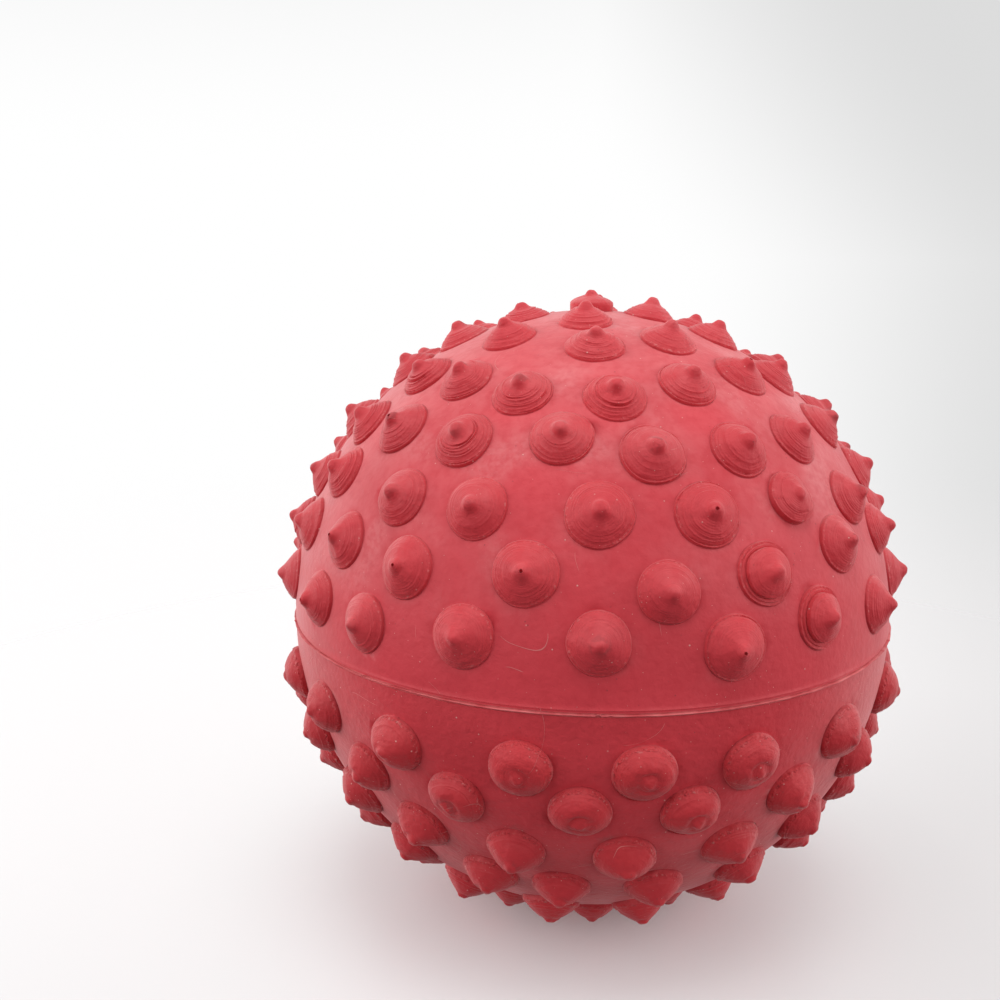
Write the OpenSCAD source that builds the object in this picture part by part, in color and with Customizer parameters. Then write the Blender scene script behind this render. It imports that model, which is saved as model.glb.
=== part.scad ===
/* [Ball] */
// Diameter of the plain shell, between the bumps
shell_d = 84; // [80:1:110]
// Thickness of the rubber wall
wall = 4; // [2.5:0.5:6]

/* [Bumps] */
// Diameter of a bump at its foot
bump_d = 7.5; // [5:0.1:8.2]
// Height of a bump's tip over the shell
bump_h = 2.8; // [2:0.1:4]
// Height of the steep step round a bump's foot
step_h = 0.4; // [0.2:0.05:0.6]
// Diameter of the nipple on a bump
nipple_d = 1.7; // [1:0.1:2.2]
// Height of the nipple over the flank
nipple_h = 0.75; // [0.4:0.05:1.2]
// Ridges up the flank of a bump on the upper half
ridges = 3; // [2:1:5]
// Depth of the dish round the nipple on the lower half
dish_depth = 0.15; // [0.05:0.05:0.3]

/* [Pole bump] */
// Diameter of the steep bump on the upper pole, at its foot
pole_bump_d = 6; // [5:0.1:7]
// Height of the steep wall round its foot
pole_step_h = 1.3; // [0.8:0.1:1.6]

/* [Seam] */
// Thickness of the bond between the two half shells
bond_t = 0.5; // [0.3:0.1:1]
// How far the squeezed-out flash stands over the shell outside
flash_out = 0.6; // [0.2:0.1:1.2]
// How far it stands over the wall inside
flash_in = 0.8; // [0.2:0.1:1.5]

/* [Sealing plug] */
// Diameter of the plug inside the lower pole
plug_d = 14; // [10:1:18]
// Thickness of the plug at its middle
plug_t = 4; // [2.5:0.5:6]
// Thickness of the plug at its edge
plug_edge_t = 1.2; // [0.8:0.1:2]
// Width of the boss that is left all round the plug
boss_margin = 2; // [1:0.5:4]
// Height of the boss over the inner wall at its edge
boss_h = 1.2; // [0.8:0.1:2]

/* [Hidden] */

// Bumps: latitude from the seam, number in the row, and longitude of the row's first bump, in degrees
upper_row_angles = [
    [78, 4, -5], [66.5, 9, 0], [53.5, 16, 6],
    [41.5, 18, 12], [30.5, 18, 1], [20.5, 18, 11], [10, 18, 1]
];
// The lower pole is bare, so that the ball stands on its last row
lower_row_angles = [
    [78, 5, 0], [66.5, 9, 5], [53, 14, 17],
    [39, 18, -3], [28, 18, 8], [18, 18, -2], [10, 18, 8]
];
right_angle = 90;
full_turn = 360;

// Facets round the ball, round a bump, and up a quarter of a dome
ball_facets = 128;
bump_facets = 24;
dome_facets = 8;
flank_facets = 4;

shell_r = shell_d / 2;
inner_r = shell_r - wall;
bump_r = bump_d / 2;
pole_bump_r = pole_bump_d / 2;
nipple_r = nipple_d / 2;
plug_r = plug_d / 2;
boss_r = plug_r + boss_margin;

// The boss stands on the inner wall at its edge, and the plug stands on the boss
boss_top = boss_h - sqrt(pow(inner_r, 2) - pow(boss_r, 2));

// Depth of a bump's root in the wall
root_share = 0.5;
// Radius at the top of the foot's step
step_top_share = 0.94;
// A ridge's steep lip, as shares of the ridge's width and height
lip_width_share = 0.15;
lip_height_share = 0.5;
// How full the flank is between foot and nipple: 1 is a straight cone
flank_bow = 0.8;
// Radii of the dish round the nipple
dish_rim_share = 1.9;
dish_floor_share = 1.25;
// Radius of the nipple's shoulder and top, and height of its shoulder
shoulder_r_share = 0.8;
shoulder_h_share = 0.7;
top_r_share = 0.4;
// Thickness of the flash at its edge
flash_edge_share = 0.6;

flank_foot_r = bump_r * step_top_share;
flank_top_h = bump_h - nipple_h;

// Height of the flank at a share of the way from the foot's step in to the nipple
function flank_height(way) = step_h + (flank_top_h - step_h) * pow(way, flank_bow);

function flank_radius(way) = flank_foot_r - (flank_foot_r - nipple_r) * way;

// Each ridge has a short steep lip and a long easy slope
function ridged_flank() = [
    for (i = [0 : ridges - 1])
        let (
            foot = i / ridges,
            lip = (i + lip_width_share) / ridges,
            crest = (i + lip_height_share) / ridges
        )
        each [
            [flank_radius(foot), flank_height(foot)],
            [flank_radius(lip), flank_height(crest)]
        ]
];

// A steep wall under an easy cone
function steep_flank() = [[pole_bump_r * step_top_share, pole_step_h]];

// A smooth dome that ends in a shallow dish round the nipple
function domed_flank() =
    let (
        rim_r = nipple_r * dish_rim_share,
        rim_angle = acos(rim_r / flank_foot_r),
        rim_h = flank_top_h + dish_depth
    )
    concat(
        [
            for (i = [0 : flank_facets])
                let (angle = rim_angle * i / flank_facets)
                [flank_foot_r * cos(angle), step_h + (rim_h - step_h) * sin(angle) / sin(rim_angle)]
        ],
        [[nipple_r * dish_floor_share, flank_top_h]]
    );

function nipple() = [
    [nipple_r, flank_top_h],
    [nipple_r * shoulder_r_share, flank_top_h + nipple_h * shoulder_h_share],
    [nipple_r * top_r_share, bump_h],
    [0, bump_h]
];

// One bump on the shell's top, rooted in the wall
module bump(foot_r, flank) {
    root = wall * root_share;
    foot = [[0, -root], [foot_r, -root], [foot_r, 0]];
    translate([0, 0, shell_r])
        rotate_extrude($fn = bump_facets)
            polygon(concat(foot, flank, nipple()));
}

module bump_rows(rows, flank) {
    for (row = rows)
        for (k = [0 : row[1] - 1])
            rotate([right_angle - row[0], 0, row[2] + full_turn * k / row[1]])
                bump(bump_r, flank);
}

// The plain half over the seam, cut flat at its rim
module half_shell() {
    difference() {
        sphere(r = shell_r, $fn = ball_facets);
        sphere(r = inner_r, $fn = ball_facets);
        translate([-shell_d, -shell_d, bond_t / 2 - shell_d])
            cube([shell_d * 2, shell_d * 2, shell_d]);
    }
}

module upper_shell() {
    color("crimson") {
        half_shell();
        bump_rows(upper_row_angles, ridged_flank());
        bump(pole_bump_r, steep_flank());
    }
}

module lower_shell() {
    color("firebrick") {
        mirror([0, 0, 1]) {
            half_shell();
            bump_rows(lower_row_angles, domed_flank());
        }
        boss();
    }
}

// Flat seat for the plug, inside at the lower pole
module boss() {
    root_z = -shell_r + wall * root_share;
    translate([0, 0, root_z])
        cylinder(r = boss_r, h = boss_top - root_z, $fn = ball_facets);
}

// A flat ring between the rims that thins out where it was squeezed past them
module seam_bond() {
    half_t = bond_t / 2;
    half_edge = half_t * flash_edge_share;
    color("lightcoral")
        rotate_extrude($fn = ball_facets)
            polygon([
                [inner_r - flash_in, -half_edge], [inner_r, -half_t],
                [shell_r, -half_t], [shell_r + flash_out, -half_edge],
                [shell_r + flash_out, half_edge], [shell_r, half_t],
                [inner_r, half_t], [inner_r - flash_in, half_edge]
            ]);
}

module sealing_plug() {
    dome_h = plug_t - plug_edge_t;
    dome = [
        for (i = [0 : dome_facets])
            let (angle = right_angle * i / dome_facets)
            [plug_r * cos(angle), plug_edge_t + dome_h * sin(angle)]
    ];
    color("burlywood")
        translate([0, 0, boss_top])
            rotate_extrude($fn = ball_facets)
                polygon(concat([[0, 0], [plug_r, 0]], dome));
}

upper_shell();
lower_shell();
seam_bond();
sealing_plug();
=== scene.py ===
import math
import random
from collections import namedtuple

import bpy
import numpy as np
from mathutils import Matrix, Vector
from mathutils.geometry import delaunay_2d_cdt


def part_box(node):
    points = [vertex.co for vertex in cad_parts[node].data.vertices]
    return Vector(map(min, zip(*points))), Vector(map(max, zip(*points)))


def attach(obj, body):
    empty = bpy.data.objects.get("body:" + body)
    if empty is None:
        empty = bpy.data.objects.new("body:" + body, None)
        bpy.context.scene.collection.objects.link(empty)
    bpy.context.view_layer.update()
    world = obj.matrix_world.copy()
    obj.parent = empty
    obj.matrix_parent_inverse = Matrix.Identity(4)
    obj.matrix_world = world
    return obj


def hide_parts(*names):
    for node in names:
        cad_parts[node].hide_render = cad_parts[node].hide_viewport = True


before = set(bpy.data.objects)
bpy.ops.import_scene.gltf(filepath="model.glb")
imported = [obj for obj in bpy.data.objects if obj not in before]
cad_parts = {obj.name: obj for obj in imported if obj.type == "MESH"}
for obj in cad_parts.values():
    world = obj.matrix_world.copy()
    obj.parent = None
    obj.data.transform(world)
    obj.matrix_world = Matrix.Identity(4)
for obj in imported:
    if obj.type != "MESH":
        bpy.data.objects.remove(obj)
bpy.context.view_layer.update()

scene = bpy.context.scene

# Millimetres to Blender's metres
MM = 0.001
FULL_TURN = 2 * math.pi

# The plain shell, in millimetres, and what the frame says of the rest
SHELL_R = 42.0
WALL = 4.0
INNER_R = SHELL_R - WALL
RIM_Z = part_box("upper_shell")[0].z / MM
BUMP_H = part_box("upper_shell")[1].z / MM - SHELL_R
FLASH_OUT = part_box("seam_bond")[1].x / MM - SHELL_R
FLASH_IN = 0.8
PLUG_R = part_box("sealing_plug")[1].x / MM
BOSS_MARGIN = 2.0
BOSS_R = PLUG_R + BOSS_MARGIN
BOSS_CLEARANCE = 0.5
BOSS_DEPTH = -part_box("sealing_plug")[0].z / MM
FLOOR_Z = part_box("lower_shell")[0].z

# Bumps: latitude from the seam, number in the row, and longitude of the row's first bump, in degrees
UPPER_ROWS = [
    (90, 1, 0), (78, 4, -5), (66.5, 9, 0), (53.5, 16, 6),
    (41.5, 18, 12), (30.5, 18, 1), (20.5, 18, 11), (10, 18, 1),
]
LOWER_ROWS = [
    (78, 5, 0), (66.5, 9, 5), (53, 14, 17),
    (39, 18, -3), (28, 18, 8), (18, 18, -2), (10, 18, 8),
]
# Bumps off their row's rule: (row, number) to degrees north and east, and share of the plain size
UPPER_NUDGES = {
    (0, 0): (0, 0, 0.8),
    (1, -1): (-1, 15, 0.95), (1, 0): (-0.5, 0, 0.95), (1, 1): (1, -4, 0.95),
    (2, -3): (-2.5, 0, 0.96), (2, -2): (-1.5, -2, 0.98), (2, -1): (1.5, -2.5, 0.96),
    (2, 0): (-0.5, 1.5, 1), (2, 1): (1, -2.5, 1),
    (3, -3): (0.5, 2, 0.96), (3, -2): (1, -0.5, 0.98), (3, -1): (-1, -2, 1),
    (3, 0): (-1.5, 0.5, 1.02), (3, 1): (1, 0, 1), (3, 2): (2, 1.5, 0.98),
    (4, -5): (-1.5, 4, 0.96), (4, -4): (0, 1, 0.98), (4, -3): (1, -1, 1.02),
    (4, -2): (0.5, -0.5, 1.02), (4, -1): (2, 2, 1), (4, 0): (-1, 1, 1.04),
    (4, 1): (-1, 1, 1.02), (4, 2): (-0.5, -0.5, 0.97),
    (5, -4): (-2, 2, 0.97), (5, -3): (1, -2.5, 0.97), (5, -2): (0, 1, 1),
    (5, -1): (0, -1.5, 1.02), (5, 0): (0, 1, 1.06), (5, 1): (-0.5, 0.5, 1.06),
    (5, 2): (0.5, -0.5, 0.86), (5, 3): (-2, -1, 0.98),
    (6, -5): (-2.5, 8.5, 0.96), (6, -4): (-0.5, 1, 0.98), (6, -3): (0.5, -0.5, 0.97),
    (6, -2): (-1, -3, 1), (6, -1): (0.5, -1, 1.02), (6, 0): (-2, 2, 0.95),
    (6, 1): (-0.5, -0.5, 1), (6, 2): (1.5, -1, 0.97),
    (7, -5): (0, 7, 0.95), (7, -4): (-1.5, 4, 0.96), (7, -3): (-0.5, 4.5, 0.95),
    (7, -2): (-1, -0.5, 0.95), (7, -1): (0.5, -0.5, 1), (7, 0): (1, 1, 0.97),
    (7, 1): (-0.5, 2.5, 1.02), (7, 2): (1.5, 0, 1), (7, 3): (-0.5, -1, 0.98),
}
LOWER_NUDGES = {
    (2, -2): (0, -2.5, 1),
    (3, -1): (-1, 3, 0.98), (3, 0): (0, -1.5, 0.98), (3, 1): (-0.5, -1.5, 1),
    (3, 3): (0.5, 4, 0.97), (4, -4): (0.5, -1, 0.97), (4, 4): (0, 1.5, 0.97),
    (5, 0): (-0.5, 1.5, 0.98), (5, 1): (0, 0, 0.98), (5, 4): (2.5, 2, 0.97),
    (6, -3): (0, -1, 0.96), (6, -2): (0, -0.5, 0.97), (6, -1): (0, 2, 1),
    (6, 0): (0, 1.5, 1), (6, 1): (0, -0.5, 1), (6, 2): (0, 0.5, 0.97), (6, 3): (0.5, 6, 0.98),
}
# Above this latitude the bumps stand close together, so they keep to the rule
CLOSE_LATITUDE = 60
# Random play of the other bumps, in degrees, and size shares
CLOSE_PLAY = 0.1
PLAIN_PLAY = 0.5
SIZE_SHARES = (0.95, 1.02)
# Each bump has its own seed
SEEDS_PER_HALF = 10000
SEEDS_PER_ROW = 100

# Bumps with a needle hole in the tip
PINHOLES = {(7, -3), (7, 1), (6, -3), (6, -2), (6, -1), (5, 1), (4, -3), (3, 2)}
# Such a tip bends to the front by this many millimetres for each place from the row's middle
HOLE_BEND = 0.12
# Bumps with a stepped collar: radius of the inner cone as a share of the bump's
COLLAR_SHARES = {
    (7, 1): 0.88, (7, 2): 0.74, (6, 1): 0.76, (5, 1): 0.9, (4, 0): 0.89, (4, 1): 0.87, (3, 1): 0.9,
}
# Bumps with a high wall round the foot, in millimetres
HIGH_FEET = {(5, 2): 0.7}
# Low bumps: share of the plain height
LOW_SHARES = {(1, -1): 0.8, (5, 2): 0.8}
# Lower bumps with a flat dish round the nub, and their share of the plain height
DISHED = {(6, -1), (6, 0), (6, 1), (5, -1), (5, 0), (5, 1)}
DISHED_SHARE = 0.78
# How far such a dish rises towards the seam, in millimetres
DISH_TILT = 0.18
# How far the nub would point away from the seam at a bump's plain height, in millimetres
NUB_DROOP = 2.4
# Height of the tips that the ball stands on, as a share of the plain height
RESTING_SHARE = 0.965
# Heights of all other bumps lie between these shares
UPPER_HEIGHT_SHARES = (0.95, 1.03)
LOWER_HEIGHT_SHARES = (0.96, 1.05)

# The numbers of a row's bumps that face the photograph lie within this
SEEN = 4
# How often bumps behind have a needle hole, a collar of one of two shares or, from a row on, a dish
PINHOLE_CHANCE = 0.15
COLLAR_CHANCE = 0.25
COLLAR_CHOICES = (0.75, 0.88)
DISH_CHANCE = 0.3
DISHED_FROM_ROW = 5
# How often a lower bump has a needle hole, on all sides
LOWER_PINHOLE_CHANCE = 0.06

BUMP_R = 3.75
BUMP_SEGMENTS = 34
# Radius of the ring where a bump's mesh meets the shell's, as a share of the bump's
JOIN_SHARE = 1.045

# Forms of bumps: shares of the height from the foot's edge in to the tip, at shares of the radius
RADIUS_SHARES = (0.95, 0.80, 0.62, 0.46, 0.36, 0.28, 0.21, 0.15, 0.08, 0.0)
SOFT_SHARES = (0.14, 0.31, 0.47, 0.59, 0.67, 0.75, 0.83, 0.90, 0.97, 1.0)
KNOB_SHARES = (0.14, 0.30, 0.46, 0.57, 0.625, 0.685, 0.84, 0.945, 0.99, 1.0)
DISH_SHARES = (0.25, 0.54, 0.76, 0.86, 0.85, 0.855, 0.88, 0.935, 0.985, 1.0)
DOME_SHARES = (0.22, 0.44, 0.63, 0.75, 0.805, 0.84, 0.865, 0.93, 0.99, 1.0)
CONE_SHARES = (0.20, 0.36, 0.55, 0.69, 0.765, 0.815, 0.87, 0.96, 0.995, 1.0)
POLE_SHARES = (0.45, 0.56, 0.63, 0.68, 0.71, 0.76, 0.88, 0.95, 0.99, 1.0)
# Heights are evened out over this much of the radius
EASE_SHARE = 0.025
# Radii of the rings that carry the tip, and of a smooth flank
TIP_RING_SHARES = (0.40, 0.34, 0.285, 0.245, 0.21, 0.17, 0.13, 0.08)
FLANK_RING_SHARES = (0.90, 0.82, 0.73, 0.64, 0.55, 0.47)

# A bump: row, number in it, place in degrees, size share, random source, and tilt and bend in millimetres
Bump = namedtuple("Bump", "row number latitude longitude size rng tilt bend", defaults=(0.0, (0.0, 0.0)))
# A ring of a bump: radius share, height, its ridge's lift, whether its edge is crisp, and its ridge
Ring = namedtuple("Ring", "share height lift crisp ridge", defaults=(0.0, False, 0))


def direction(latitude, longitude):
    """Unit vector out of the ball's centre; longitude 0 is the photographed side."""
    a = math.radians(latitude)
    b = math.radians(longitude)
    return np.array([math.cos(a) * math.sin(b), -math.cos(a) * math.cos(b), math.sin(a)])


def tangents(latitude, longitude):
    """Unit vectors to the east and north along the shell."""
    a = math.radians(latitude)
    b = math.radians(longitude)
    east = np.array([math.cos(b), math.sin(b), 0.0])
    north = np.array([-math.sin(a) * math.sin(b), math.sin(a) * math.cos(b), math.cos(a)])
    return east, north


def turns(segments):
    """Angles of even steps round a circle."""
    return np.arange(segments) * FULL_TURN / segments


def smooth(value, low, high):
    """0 below low, 1 above high, with an eased step between."""
    t = np.clip((value - low) / (high - low), 0.0, 1.0)
    return t * t * (3.0 - 2.0 * t)


def mix(a, b, share):
    """Numbers a where share is 0 and b where it is 1."""
    return np.array(a) * (1.0 - share) + np.array(b) * share


# Gentle unevenness of the moulded wall: direction, waves over the ball, and height in millimetres
WALL_WAVES = [
    ((0.8, 0.3, 0.5), 5.0, 0.05), ((-0.4, 0.9, 0.2), 7.0, 0.04),
    ((0.2, -0.5, 0.9), 9.0, 0.03), ((0.7, 0.6, -0.4), 13.0, 0.02),
]
# The waves have their full height from this far over the seam, in millimetres
WAVES_FULL_Z = 3.0


def wall_radius(unit):
    """Outer radius of the shell along unit vectors, in millimetres."""
    radius = np.full(len(unit), SHELL_R)
    away = smooth(unit[:, 2] * SHELL_R, RIM_Z, WAVES_FULL_Z)
    for axis, waves, height in WALL_WAVES:
        radius = radius + height * away * np.sin(unit @ np.array(axis) * waves)
    return radius


class Flank(namedtuple("Flank", "form foot top")):
    """The plain rise of a bump of some form, from its foot's edge to its tip."""

    def height(self, share):
        """Height at a share of the bump's radius."""
        near = [share - EASE_SHARE, share, share + EASE_SHARE]
        height = np.interp(near, RADIUS_SHARES[::-1], self.form[::-1]).mean()
        return self.foot + (self.top - self.foot) * float(height - self.form[0]) / (1.0 - self.form[0])

    def rings(self, shares):
        """Plain rings at shares of the bump's radius."""
        return [Ring(share, self.height(share)) for share in shares]


# The crease and the steep step round a bump, plain and on the pole: radius share, height in millimetres,
# share of the foot's height that is added, and whether the edge is crisp
STEP_SHARE = 0.985
FOOT_SHARE = 0.965
FOOT_RINGS = (
    (JOIN_SHARE, 0.0, 0.0, False), (1.02, -0.015, 0.0, False), (1.0, 0.02, 0.0, True),
    (STEP_SHARE, 0.0, 0.7, False), (FOOT_SHARE, 0.0, 1.0, True),
)
POLE_FOOT_RINGS = (
    (JOIN_SHARE, 0.0, 0.0, False), (1.02, -0.04, 0.0, False), (1.0, 0.05, 0.0, True),
    (0.99, 0.0, 0.6, False), (0.975, 0.0, 0.88, False), (0.95, 0.0, 1.0, False),
)


def foot_rings(table, foot):
    """Rings round a foot of that height."""
    return [Ring(share, height + foot * part, crisp=crisp) for share, height, part, crisp in table]


# A collar has one ledge round an inner cone wider than this share, or else two
WIDE_CONE_SHARE = 0.85
# Its dip, crest and end over the foot in millimetres, and its widths as radius shares
LEDGE_DIP = 0.05
LEDGE_CREST = 0.14
LEDGE_END = 0.04
FACE_SHARE = 0.02
TREAD_SHARE = 0.04


def collar_rings(foot, inner, top_of_wall):
    """One or two low steps round an inner cone of that radius share."""
    cone = Ring(inner, top_of_wall, crisp=True)
    if inner > WIDE_CONE_SHARE:
        return [Ring((FOOT_SHARE + inner) / 2, foot - LEDGE_DIP), cone]
    middle = (STEP_SHARE + inner) / 2
    return [
        Ring(middle + FACE_SHARE, foot - LEDGE_DIP), Ring(middle, foot + LEDGE_CREST, crisp=True),
        Ring(middle - TREAD_SHARE, foot + LEDGE_CREST), Ring(inner + FACE_SHARE, foot + LEDGE_END), cone,
    ]


# The end of a tip, plain or with a needle hole: radius share, depth in millimetres, whether it is crisp
PLAIN_END = ((0.0, 0.0, False),)
PINHOLE_END = ((0.055, 0.02, True), (0.045, 0.25, False), (0.0, 0.45, False))


def tip_rings(flank, pinhole):
    """The tip of a bump, with the needle hole that some have."""
    table = PINHOLE_END if pinhole else PLAIN_END
    end = [Ring(share, flank.top - depth, crisp=crisp) for share, depth, crisp in table]
    return flank.rings(TIP_RING_SHARES) + end


# A ridge's play and steep face as shares of the pitch, and its lift as shares of the depth
RIDGE_PLAY_SHARE = 0.2
RIDGE_FACE_SHARE = 0.22
RIDGE_LIFT_SHARES = (0.5, 1.4)


def ridge_rings(rng, flank, outer, inner, ridges, depth):
    """Uneven terraces on a flank between two radius shares."""
    pitch = (outer - inner) / ridges
    rings = []
    for ridge in range(ridges):
        low = outer - pitch * (ridge + rng.uniform(-RIDGE_PLAY_SHARE, RIDGE_PLAY_SHARE))
        high = low - pitch * RIDGE_FACE_SHARE
        lift = depth * rng.uniform(*RIDGE_LIFT_SHARES)
        rings.append(Ring(low, flank.height(low), -lift, False, ridge + 1))
        rings.append(Ring(high, flank.height(high), lift, True, ridge + 1))
    return rings


# Upper bumps at four latitudes: share of the knobbed form and its play, and ridge depth in millimetres
FORM_LATITUDES = (10, 20, 30, 42)
KNOBBED_SHARES = (0.2, 0.45, 0.85, 1.0)
KNOBBED_PLAY = 0.2
RIDGE_DEPTHS = (0.025, 0.04, 0.06, 0.07)
RIDGE_DEPTH_SHARES = (0.5, 1.25)
# Between these longitudes the ridges get shallower
SHALLOW_LONGITUDES = (15, 50)
SHALLOW_SHARES = (1.0, 0.6)
# Heights of the foot's step, in millimetres
UPPER_FEET = (0.24, 0.36)
# Above this latitude the ridges go farther in, and there are more of them where bumps don't stand close
FINE_LATITUDE = 35
FINE_RIDGES = 7
PLAIN_RIDGES = 5
COLLARED_RIDGES = 3
# Radius shares where ridges start, where they end, and how far in from a collar they start
RIDGED_FROM_SHARE = 0.945
FINE_TO_SHARE = 0.44
PLAIN_TO_SHARE = 0.52
COLLAR_GAP_SHARE = 0.04


def ridged_profile(bump, top, collar, pinhole):
    """Rings of an upper bump, a cone in fine terraces, from the shell in to the tip."""
    rng = bump.rng
    knobbed = float(np.interp(bump.latitude, FORM_LATITUDES, KNOBBED_SHARES))
    knobbed = min(1.0, max(0.0, knobbed + rng.uniform(-KNOBBED_PLAY, KNOBBED_PLAY)))
    foot = HIGH_FEET.get((bump.row, bump.number), rng.uniform(*UPPER_FEET))
    flank = Flank(mix(SOFT_SHARES, KNOB_SHARES, knobbed), foot, top)
    depth = float(np.interp(bump.latitude, FORM_LATITUDES, RIDGE_DEPTHS)) * rng.uniform(*RIDGE_DEPTH_SHARES)
    depth = depth * float(np.interp(bump.longitude, SHALLOW_LONGITUDES, SHALLOW_SHARES))
    rings = foot_rings(FOOT_RINGS, foot)
    ridges = FINE_RIDGES if FINE_LATITUDE < bump.latitude < CLOSE_LATITUDE else PLAIN_RIDGES
    outer = RIDGED_FROM_SHARE
    if collar:
        rings += collar_rings(foot, collar, flank.height(collar))
        ridges = COLLARED_RIDGES
        outer = collar - COLLAR_GAP_SHARE
    inner = FINE_TO_SHARE if bump.latitude > FINE_LATITUDE else PLAIN_TO_SHARE
    rings += ridge_rings(rng, flank, outer, inner, ridges, depth)
    return rings + tip_rings(flank, pinhole)


def pole_profile(top):
    """Rings of the steep bump on the upper pole."""
    foot = POLE_SHARES[0] * top
    flank = Flank(POLE_SHARES, foot, top)
    return foot_rings(POLE_FOOT_RINGS, foot) + flank.rings(FLANK_RING_SHARES) + tip_rings(flank, False)


# Lower bumps turn from domes into cones between these latitudes
CONE_LATITUDES = (15, 32)
# Heights of the foot's step, and of the lip over it, in millimetres
LOWER_FEET = (0.42, 0.58)
LOWER_LIPS = (0.12, 0.22)
LOWER_LIP_SHARE = 0.93
# Number, depth in millimetres and radius shares of the faint ridges
LOWER_RIDGES = 3
LOWER_RIDGE_DEPTHS = (0.015, 0.04)
LOWER_FROM_SHARE = 0.88
LOWER_TO_SHARE = 0.66


def domed_profile(bump, top, dished, pinhole):
    """Rings of a lower bump, a smooth dome near the seam and a cone farther down."""
    rng = bump.rng
    coned = float(smooth(bump.latitude, *CONE_LATITUDES))
    foot = rng.uniform(*LOWER_FEET)
    flank = Flank(DISH_SHARES if dished else mix(DOME_SHARES, CONE_SHARES, coned), foot, top)
    rings = foot_rings(FOOT_RINGS, foot) + [Ring(LOWER_LIP_SHARE, foot + rng.uniform(*LOWER_LIPS))]
    depth = rng.uniform(*LOWER_RIDGE_DEPTHS)
    rings += ridge_rings(rng, flank, LOWER_FROM_SHARE, LOWER_TO_SHARE, LOWER_RIDGES, depth)
    rings += flank.rings([share for share in FLANK_RING_SHARES if share < LOWER_TO_SHARE])
    return rings + tip_rings(flank, pinhole)


# Waves round a bump, as (lobes, height) pairs: in radius shares, shares of a ridge's lift, or millimetres
FOOT_WAVES = ((2, 0.012), (3, 0.010), (5, 0.006))
WANDER_WAVES = ((1, 0.010), (2, 0.007), (3, 0.006), (5, 0.003))
FADE_WAVES = ((1, 0.4), (2, 0.3), (4, 0.15))
FLANK_WAVES = ((1, 0.05), (2, 0.035), (3, 0.025), (5, 0.012))
KNOB_WAVES = ((1, 0.03), (2, 0.035), (3, 0.025))
# The share of its lift that a ridge fades about, and the least and most that it has
FADE_SHARE = 0.75
FADE_LIMIT_SHARES = (0.0, 1.4)
# Spread of the nicks in crisp edges, in millimetres
NICK = 0.014
# Radius shares where the flank and the knob start, and where the knob ends
FLANK_SHARE = 0.98
KNOB_SHARE = 0.3
KNOB_TOP_SHARE = 0.1
# The most that a cone leans and a tip bends, in millimetres
MOST_LEAN = 0.22
MOST_BEND = 0.2
# A tip bends from this height on, and fully this much higher, in millimetres
BEND_FROM_H = 1.7
BEND_SPAN_H = 1.1
# The lower half's bumps are this much more uneven than the upper half's
LOWER_UNEVEN = 1.7


def waves_round(rng, turn, waves):
    """A sum of random waves round a bump, from (number of lobes, height) pairs."""
    return sum(height * np.sin(lobes * turn + rng.uniform(0, FULL_TURN)) for lobes, height in waves)


def column(profile, label):
    """One value of each ring of a profile, as a column."""
    return np.array([getattr(ring, label) for ring in profile])[:, None]


def bump_relief(bump, profile, turn, uneven):
    """Radius and height of the points of a bump's rings, in millimetres."""
    rng = bump.rng
    shares = column(profile, "share")
    size = (len(profile), BUMP_SEGMENTS)
    # The foot isn't quite round, ridges wander and fade on their way, and crisp edges have small nicks
    round_share = 1.0 + waves_round(rng, turn, FOOT_WAVES)
    wander = np.zeros(size)
    fade = np.zeros(size)
    for ridge in sorted({ring.ridge for ring in profile} - {0}):
        own = [k for k, ring in enumerate(profile) if ring.ridge == ridge]
        wander[own] = waves_round(rng, turn, WANDER_WAVES)
        fade[own] = np.clip(FADE_SHARE + waves_round(rng, turn, FADE_WAVES), *FADE_LIMIT_SHARES)
    radius = BUMP_R * bump.size * (shares + wander) * np.where(shares < JOIN_SHARE, round_share, 1.0)
    nicks = np.array([rng.gauss(0.0, NICK) for _ in range(wander.size)]).reshape(size)
    height = column(profile, "height") + column(profile, "lift") * fade
    height = height + column(profile, "crisp") * uneven * nicks
    flank = (shares < FLANK_SHARE) & (shares > KNOB_SHARE)
    height = height + flank * uneven * waves_round(rng, turn, FLANK_WAVES)
    height = height - flank * bump.tilt * np.sin(turn)
    knob = (shares <= KNOB_SHARE) & (shares > KNOB_TOP_SHARE)
    height = height + knob * waves_round(rng, turn, KNOB_WAVES)
    return radius, height


def bump_spread(bump, profile, turn, radius, steady, uneven):
    """How far to the east and north of its foot's middle a bump's points lie, in millimetres."""
    rng = bump.rng
    # The cone leans and the tip bends
    lean_way = rng.uniform(0, FULL_TURN)
    bend_way = rng.uniform(0, FULL_TURN)
    inwards = np.clip(1.0 - column(profile, "share"), 0.0, 1.0)
    at_tip = np.clip((column(profile, "height") - BEND_FROM_H) / BEND_SPAN_H, 0.0, 1.0) ** 2
    lean = 0.0 if steady else rng.uniform(0.0, MOST_LEAN) * uneven * inwards
    bend = 0.0 if steady else rng.uniform(0.0, MOST_BEND) * at_tip
    east = radius * np.cos(turn) + lean * math.cos(lean_way) + bend * math.cos(bend_way)
    north = radius * np.sin(turn) + lean * math.sin(lean_way) + bend * math.sin(bend_way)
    return east + bump.bend[0] * at_tip, north + bump.bend[1] * at_tip


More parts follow.
